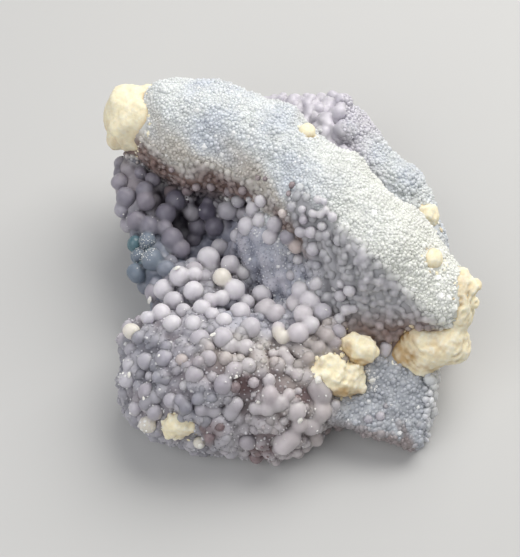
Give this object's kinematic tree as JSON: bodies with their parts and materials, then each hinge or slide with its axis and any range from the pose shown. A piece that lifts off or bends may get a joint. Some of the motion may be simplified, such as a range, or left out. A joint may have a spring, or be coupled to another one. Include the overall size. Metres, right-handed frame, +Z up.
{
  "type": "botryoidal chalcedony",
  "caption": "Hand piece of grape agate: a drusy ridge over a hollow and a knob of merged grey-lilac balls, with lumps of cream host clay.",
  "frame": {"origin": "on the flat cut that the stone rests on, under the middle of the stone", "axes": "+Z up from the flat cut, -Y towards the knob and the viewer, +X to the viewer's right"},
  "size_m": [0.0922, 0.1022, 0.0456],
  "materials": {
    "chalcedony": "satin",
    "host_clay": "matte"
  },
  "bodies": {
    "root": {"chalcedony": "chalcedony", "clay_cap": "host_clay", "clay_shoulder": "host_clay", "clay_wedge": "host_clay", "clay_patch": "host_clay", "clay_chip": "host_clay", "clay_button": "host_clay", "clay_speck": "host_clay", "clay_foot": "host_clay"}
  },
  "joints": []
}
